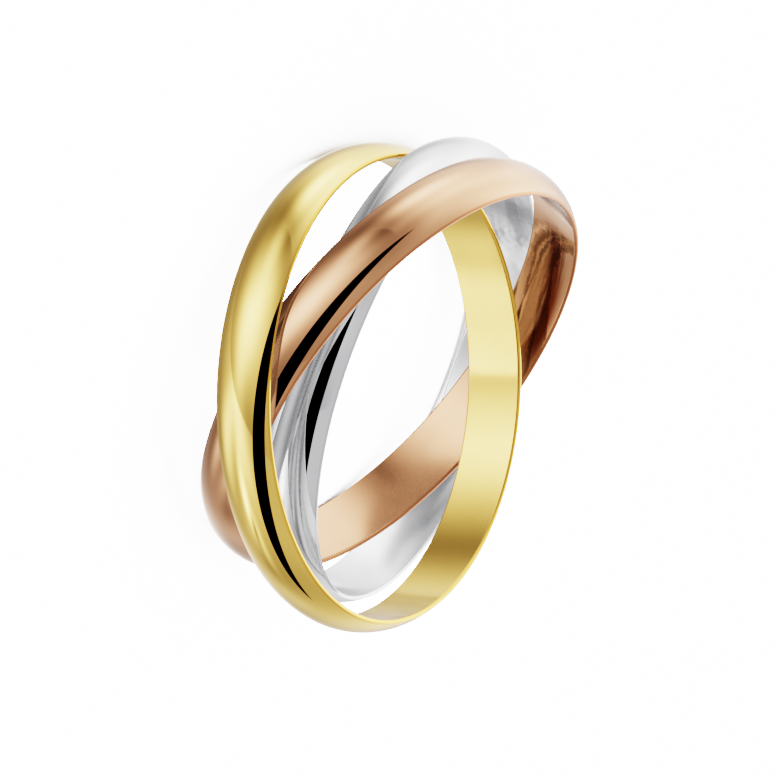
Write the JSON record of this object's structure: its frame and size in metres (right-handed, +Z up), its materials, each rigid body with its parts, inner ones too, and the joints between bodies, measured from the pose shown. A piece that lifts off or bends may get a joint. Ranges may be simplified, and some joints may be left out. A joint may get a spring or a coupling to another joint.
{
  "type": "three-band interlocked finger ring",
  "caption": "Finger ring of interlocked domed bands in yellow, rose and white gold, loosely linked so that they roll, lying on its side.",
  "frame": {"origin": "on the surface that the ring lies on, under the middle of its bounding box", "axes": "+Z up, roughly along the finger passage; +Y the longest extent, away from the pictured side; +X to the right as seen from there"},
  "size_m": [0.0218, 0.0238, 0.0085],
  "materials": {
    "yellow_gold": "mirror-polished 14 carat yellow gold",
    "rose_gold": "mirror-polished 14 carat rose gold",
    "white_gold": "mirror-polished, rhodium-plated 14 carat white gold"
  },
  "bodies": {
    "yellow": {"yellow_band": "yellow_gold"},
    "rose": {"rose_band": "rose_gold"},
    "white": {"white_band": "white_gold"}
  },
  "joints": [
    {"name": "rose_roll", "type": "hinge", "parent": "yellow", "child": "rose", "pos_m": [-0.00046, -0.00071, 0.00425], "axis": [0.2769, 0.1096, 0.9546], "continuous": true},
    {"name": "white_roll", "type": "hinge", "parent": "yellow", "child": "white", "pos_m": [-0.0004, 0.00157, 0.00345], "axis": [-0.0428, 0.187, 0.9814], "continuous": true}
  ]
}
